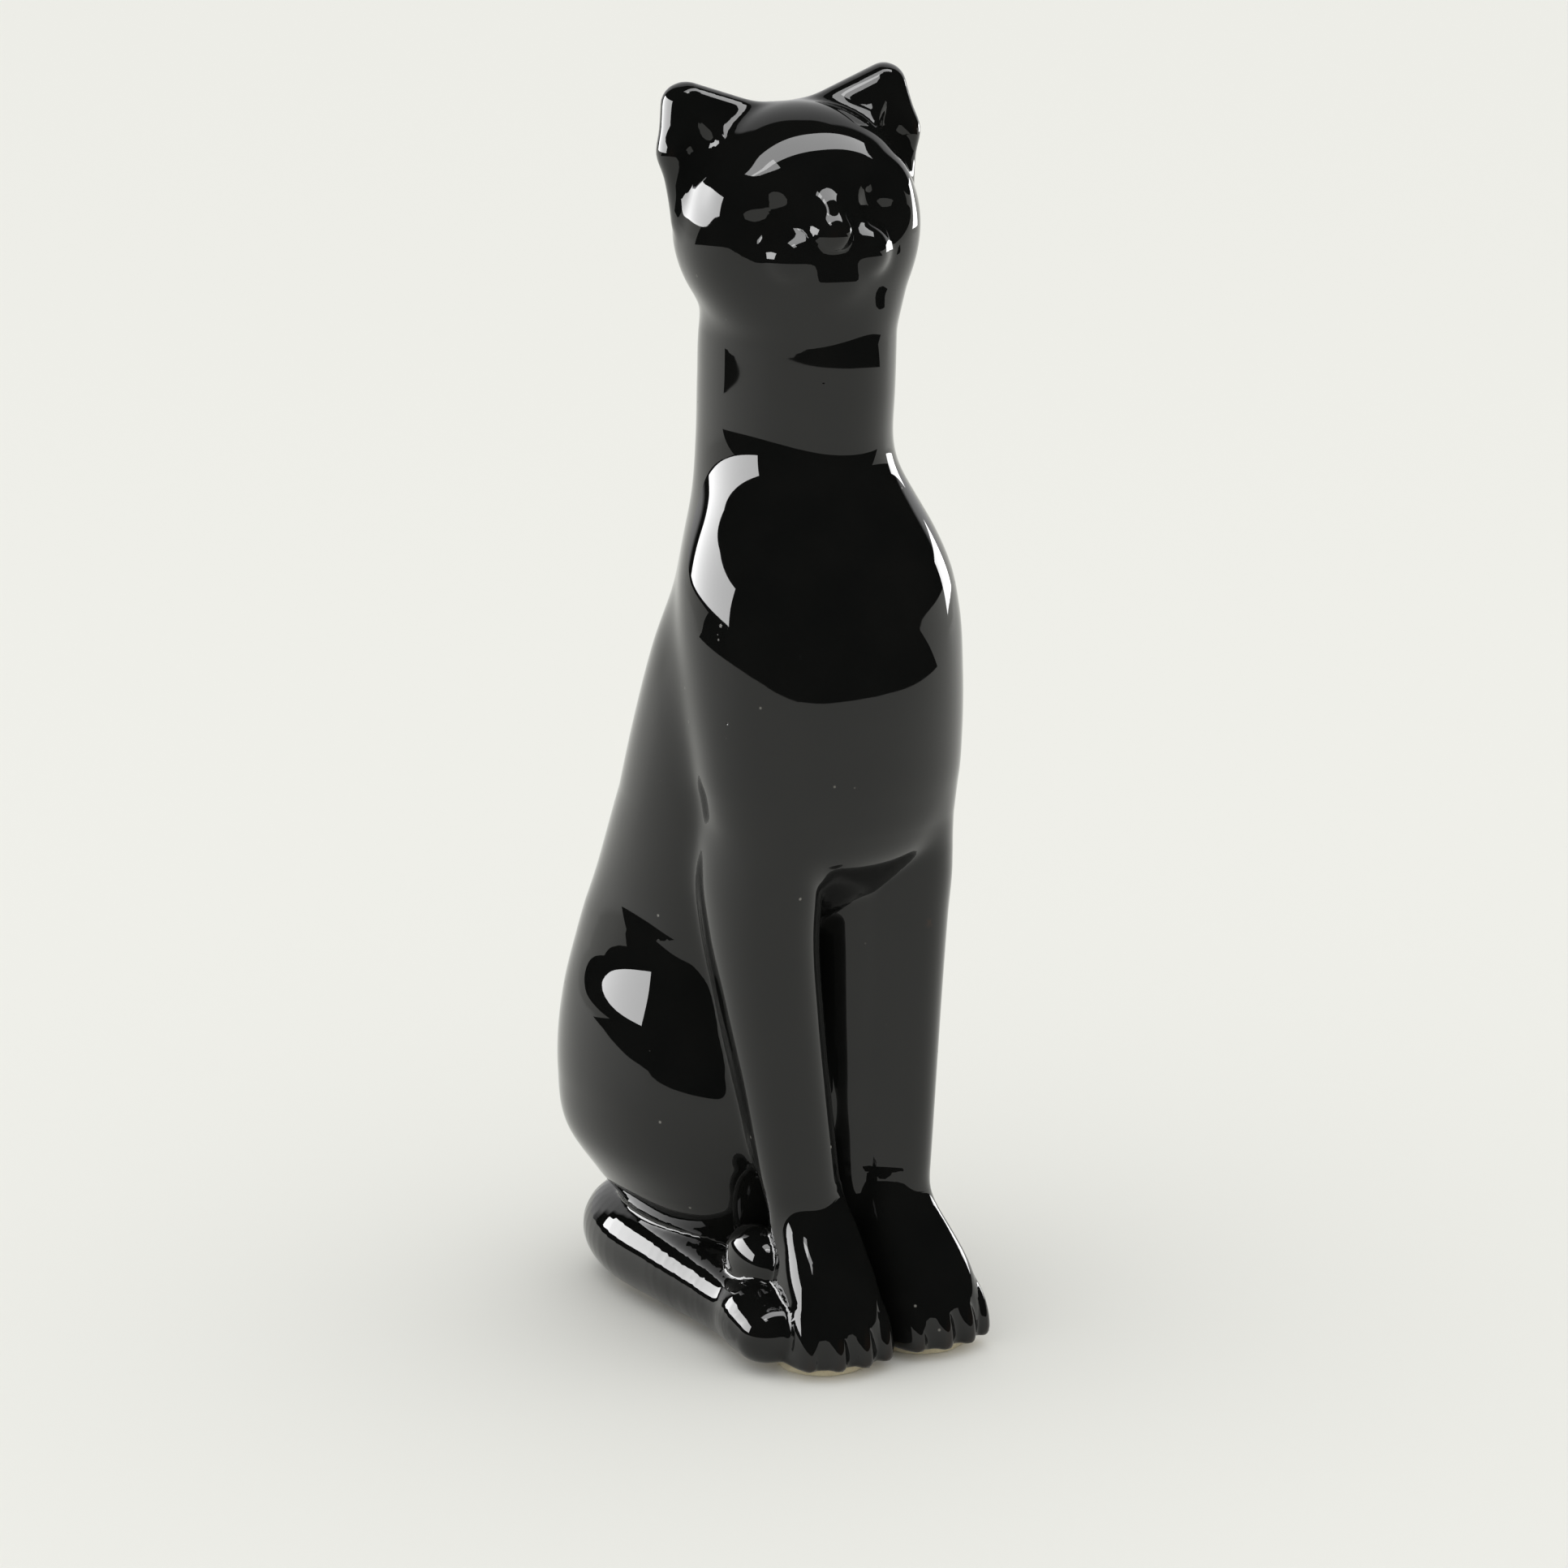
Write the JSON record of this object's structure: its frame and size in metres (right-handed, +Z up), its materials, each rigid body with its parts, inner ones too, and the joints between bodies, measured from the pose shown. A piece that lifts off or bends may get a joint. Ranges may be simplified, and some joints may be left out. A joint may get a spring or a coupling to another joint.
{
  "type": "ceramic cat figurine",
  "caption": "Tall seated cat with its tail wrapped along its right side, a hollow glazed casting on round felt pads.",
  "frame": {"origin": "on the table, under the middle of the bounding box", "axes": "+Z up; the cat faces -Y; +X is the cat's left; the tail lies along its right side, -X"},
  "size_m": [0.072, 0.0958, 0.2506],
  "materials": {
    "black_glaze": "high-gloss glaze",
    "cream_felt": "matt, fuzzy"
  },
  "bodies": {
    "root": {"ceramic_body": "black_glaze", "felt_pad_front_right": "cream_felt", "felt_pad_front_left": "cream_felt", "felt_pad_rear_right": "cream_felt", "felt_pad_rear_left": "cream_felt"}
  },
  "joints": []
}
